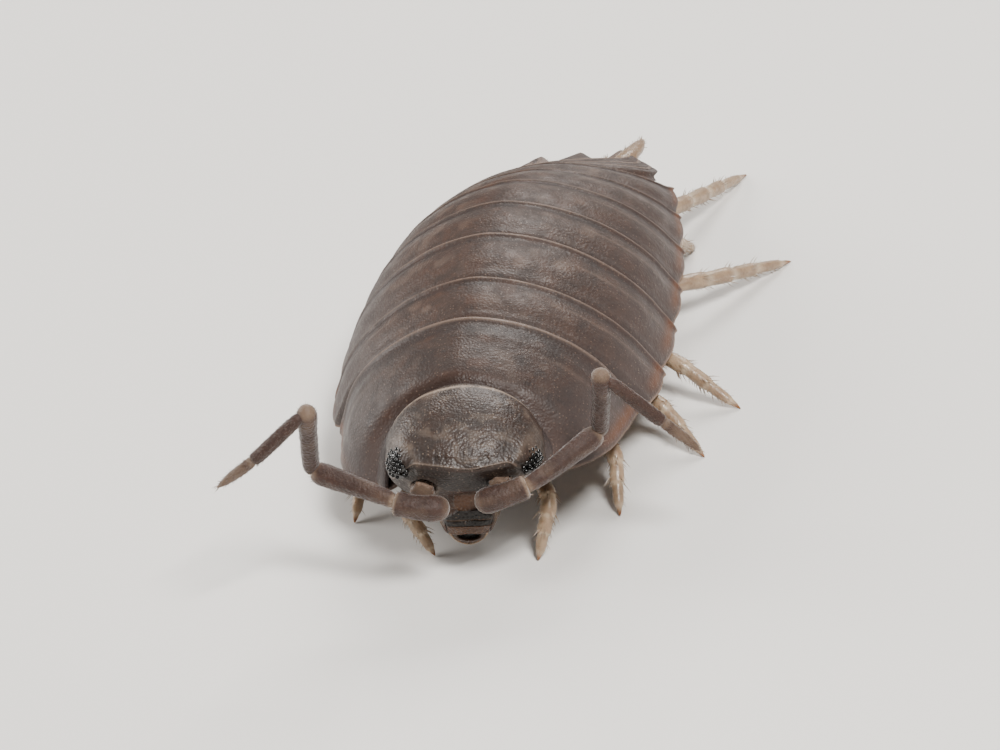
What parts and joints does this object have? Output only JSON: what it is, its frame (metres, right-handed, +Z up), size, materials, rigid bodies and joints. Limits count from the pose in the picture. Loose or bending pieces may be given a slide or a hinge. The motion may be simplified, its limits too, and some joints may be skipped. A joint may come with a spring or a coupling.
{
  "type": "woodlouse",
  "caption": "Grey woodlouse standing level with raised elbowed feelers: domed overlapping back plates, broad head with beaded eyes, pale legs, pointed tail with a pair of tail feelers.",
  "frame": {"origin": "middle of the bounding box at floor level", "axes": "+Z up, the head towards -Y, the tail towards +Y, the animal's left side towards +X"},
  "size_m": [0.011, 0.0198, 0.0053],
  "materials": {
    "grey_shell": "satin, finely grained",
    "dark_shell": "satin, finely grained",
    "eye": "wet and glossy",
    "mouth": "glossy horn",
    "feeler": "satin with fine bristles",
    "limb": "pale, slightly see-through"
  },
  "bodies": {
    "root": {"eye_left": "eye", "eye_right": "eye", "head": "dark_shell", "mouthparts": "mouth", "trunk_plate_1": "grey_shell", "trunk_plate_2": "grey_shell", "trunk_plate_3": "grey_shell", "trunk_plate_4": "grey_shell", "trunk_plate_5": "grey_shell", "trunk_plate_6": "grey_shell", "trunk_plate_7": "grey_shell", "tail_plates": "grey_shell", "tail_point": "grey_shell", "tail_feeler_left": "limb", "tail_feeler_right": "limb", "feeler_left_base": "feeler", "feeler_left_joint_4": "feeler", "feeler_left_joint_5": "feeler", "feeler_left_lash": "feeler", "feeler_right_base": "feeler", "feeler_right_joint_4": "feeler", "feeler_right_joint_5": "feeler", "feeler_right_lash": "feeler", "leg_left_1": "limb", "leg_left_2": "limb", "leg_left_3": "limb", "leg_left_4": "limb", "leg_left_5": "limb", "leg_left_6": "limb", "leg_left_7": "limb", "leg_right_1": "limb", "leg_right_2": "limb", "leg_right_3": "limb", "leg_right_4": "limb", "leg_right_5": "limb", "leg_right_6": "limb", "leg_right_7": "limb"}
  },
  "joints": []
}
